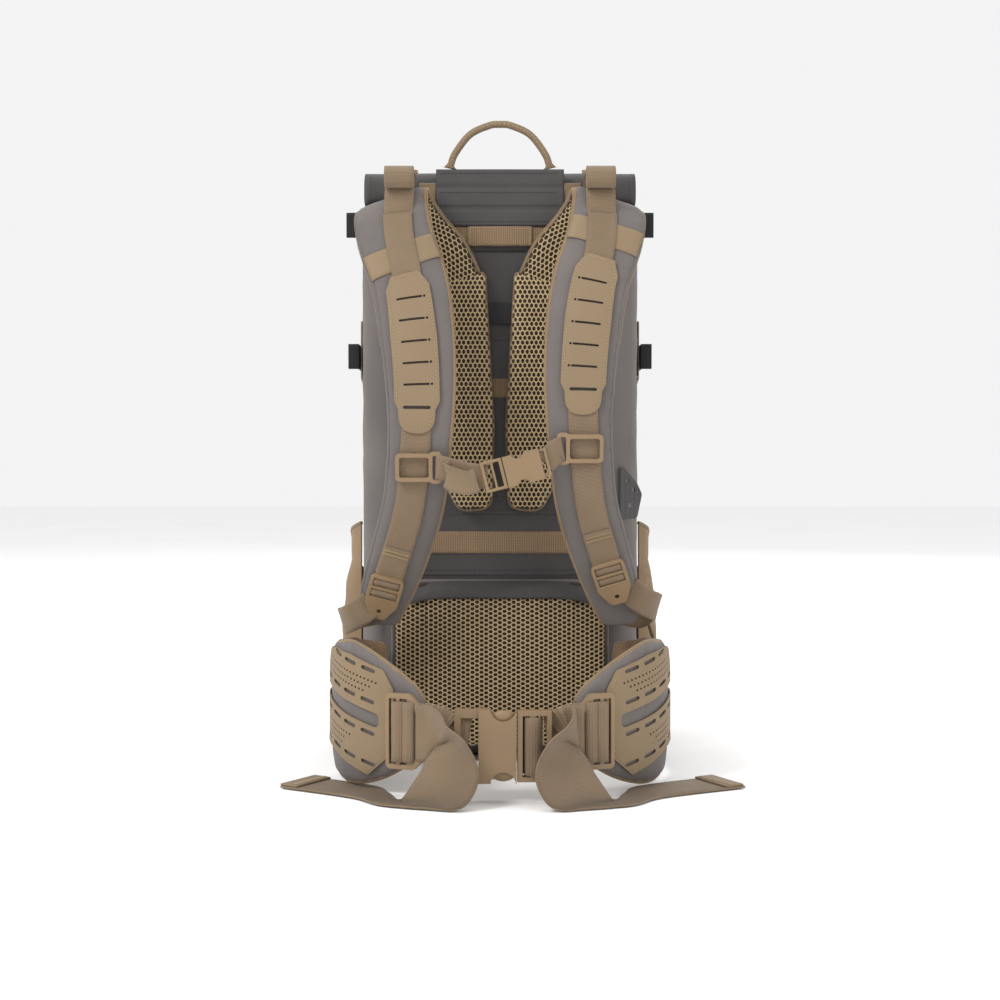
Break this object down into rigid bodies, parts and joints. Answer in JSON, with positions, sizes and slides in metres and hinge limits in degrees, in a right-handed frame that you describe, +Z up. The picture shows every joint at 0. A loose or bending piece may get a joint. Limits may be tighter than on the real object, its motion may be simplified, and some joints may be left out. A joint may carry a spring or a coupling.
{
  "type": "hunting backpack",
  "caption": "Framed hunting backpack with a padded harness, sternum strap, mesh back and lumbar pads, and a buckled padded hip belt.",
  "frame": {"origin": "on the floor under the middle of the bag's base", "axes": "+Z up, -Y towards the wearer and the picture's viewpoint, +X to the right in the picture"},
  "size_m": [0.3846, 0.4475, 0.572],
  "materials": {
    "black_plastic": "moulded",
    "black_webbing": "webbing",
    "charcoal_fabric": "matt laminate",
    "frame_plastic": "sheet",
    "grey_fabric": "satin woven nylon",
    "laminate": "laser-cut coated laminate",
    "mesh": "spacer mesh over a dark lining",
    "stay_metal": "satin",
    "tan_fabric": "stretch woven",
    "tan_plastic": "moulded",
    "webbing": "ribbed webbing"
  },
  "bodies": {
    "pack": {"bag_shell": "grey_fabric", "frame_sheet": "frame_plastic", "frame_stays": "stay_metal", "back_panel": "charcoal_fabric", "ladder_webbing": "webbing", "dark_webbing": "charcoal_fabric", "back_pad_left": "mesh", "back_pad_right": "mesh", "lumbar_pad": "mesh", "lumbar_plate": "frame_plastic", "shoulder_strap_left": "grey_fabric", "strap_webbing_left": "webbing", "strap_panel_left": "laminate", "cross_bands": "laminate", "load_lifter_left": "webbing", "lower_webbing_left": "webbing", "side_pocket_left": "tan_fabric", "shoulder_strap_right": "grey_fabric", "strap_webbing_right": "webbing", "strap_panel_right": "laminate", "load_lifter_right": "webbing", "lower_webbing_right": "webbing", "side_pocket_right": "tan_fabric", "side_straps": "black_webbing", "slotted_panels": "laminate", "rear_panel": "charcoal_fabric", "zipper_tape": "black_webbing", "rear_straps": "black_webbing", "rear_glides": "black_plastic", "pocket_cord": "webbing", "lash_tab": "charcoal_fabric"},
    "roll_top": {"roll_top": "charcoal_fabric"},
    "haul_handle": {"haul_handle": "webbing"},
    "wing_left": {"wing_left": "grey_fabric", "wing_panel_left": "laminate", "belt_adjuster_left": "tan_plastic", "belt_tail_left": "webbing", "hip_buckle_female": "tan_plastic"},
    "wing_right": {"wing_right": "grey_fabric", "wing_panel_right": "laminate", "belt_adjuster_right": "tan_plastic", "belt_tail_right": "webbing", "hip_buckle_male": "tan_plastic"},
    "hip_prong_upper": {"hip_prong_upper": "tan_plastic"},
    "hip_prong_lower": {"hip_prong_lower": "tan_plastic"},
    "sternum_left": {"sternum_slider_left": "tan_plastic", "sternum_webbing_left": "webbing", "sternum_buckle_male": "tan_plastic"},
    "sternum_right": {"sternum_slider_right": "tan_plastic", "sternum_webbing_right": "webbing", "sternum_buckle_female": "tan_plastic"},
    "sternum_prong_upper": {"sternum_prong_upper": "tan_plastic"},
    "sternum_prong_lower": {"sternum_prong_lower": "tan_plastic"},
    "ladder_lock_left": {"ladder_lock_left": "tan_plastic"},
    "ladder_lock_right": {"ladder_lock_right": "tan_plastic"},
    "lifter_buckle_left": {"lifter_buckle_left": "tan_plastic"},
    "lifter_buckle_right": {"lifter_buckle_right": "tan_plastic"},
    "zip_slider": {"zip_slider": "black_plastic"},
    "zip_pull": {"zip_pull": "black_plastic"}
  },
  "joints": [
    {"name": "roll_top_open", "type": "hinge", "parent": "pack", "child": "roll_top", "pos_m": [0, -0.06, 0.4966], "axis": [-1, 0, 0], "range_deg": [0, 105]},
    {"name": "handle_fold", "type": "hinge", "parent": "pack", "child": "haul_handle", "pos_m": [0, -0.1045, 0.5322], "axis": [1, 0, 0], "range_deg": [-25, 95]},
    {"name": "hip_wing_left", "type": "hinge", "parent": "pack", "child": "wing_left", "pos_m": [-0.1, -0.124, 0.06], "axis": [0, 0, -1], "range_deg": [0, 45]},
    {"name": "hip_wing_right", "type": "hinge", "parent": "pack", "child": "wing_right", "pos_m": [0.1, -0.124, 0.06], "axis": [0, 0, 1], "range_deg": [0, 45]},
    {"name": "hip_prong_upper_squeeze", "type": "hinge", "parent": "wing_right", "child": "hip_prong_upper", "pos_m": [0.0129, -0.292, 0.062], "axis": [0, -1, 0], "range_deg": [0, 8], "stiffness_Nm_per_rad": 0.02},
    {"name": "hip_prong_lower_squeeze", "type": "hinge", "parent": "wing_right", "child": "hip_prong_lower", "pos_m": [0.0129, -0.292, 0.026], "axis": [0, 1, 0], "range_deg": [0, 8], "stiffness_Nm_per_rad": 0.02},
    {"name": "sternum_slide_left", "type": "slide", "parent": "pack", "child": "sternum_left", "axis": [0, -0.148, 0.989], "range_m": [-0.025, 0.02]},
    {"name": "sternum_slide_right", "type": "slide", "parent": "pack", "child": "sternum_right", "axis": [0, -0.148, 0.989], "range_m": [-0.025, 0.02]},
    {"name": "sternum_prong_upper_squeeze", "type": "hinge", "parent": "sternum_left", "child": "sternum_prong_upper", "pos_m": [0.00257, -0.2225, 0.26537], "axis": [0, 1, 0], "range_deg": [0, 8], "stiffness_Nm_per_rad": 0.01},
    {"name": "sternum_prong_lower_squeeze", "type": "hinge", "parent": "sternum_left", "child": "sternum_prong_lower", "pos_m": [0.00595, -0.2225, 0.25178], "axis": [0, -1, 0], "range_deg": [0, 8], "stiffness_Nm_per_rad": 0.01},
    {"name": "ladder_lock_left_tilt", "type": "hinge", "parent": "pack", "child": "ladder_lock_left", "pos_m": [-0.09525, -0.1842, 0.16792], "axis": [-0.96, -0.1012, 0.2611], "range_deg": [0, 30]},
    {"name": "ladder_lock_right_tilt", "type": "hinge", "parent": "pack", "child": "ladder_lock_right", "pos_m": [0.09028, -0.18902, 0.18068], "axis": [-0.9508, 0.1106, -0.2894], "range_deg": [0, 30]},
    {"name": "lifter_buckle_left_tilt", "type": "hinge", "parent": "pack", "child": "lifter_buckle_left", "pos_m": [-0.086, -0.134, 0.523], "axis": [-1, 0, 0], "range_deg": [0, 25]},
    {"name": "lifter_buckle_right_tilt", "type": "hinge", "parent": "pack", "child": "lifter_buckle_right", "pos_m": [0.086, -0.134, 0.523], "axis": [-1, 0, 0], "range_deg": [0, 25]},
    {"name": "zip_slide", "type": "slide", "parent": "pack", "child": "zip_slider", "axis": [0, 0, -1], "range_m": [0, 0.165]},
    {"name": "zip_pull_swing", "type": "hinge", "parent": "zip_slider", "child": "zip_pull", "pos_m": [0.064, 0.1021, 0.2778], "axis": [1, 0, 0], "range_deg": [0, 90]}
  ],
  "couplings": [
    {"joint": "hip_wing_left", "follows": "hip_wing_right", "ratio": 1},
    {"joint": "sternum_slide_left", "follows": "sternum_slide_right", "ratio": 1}
  ]
}
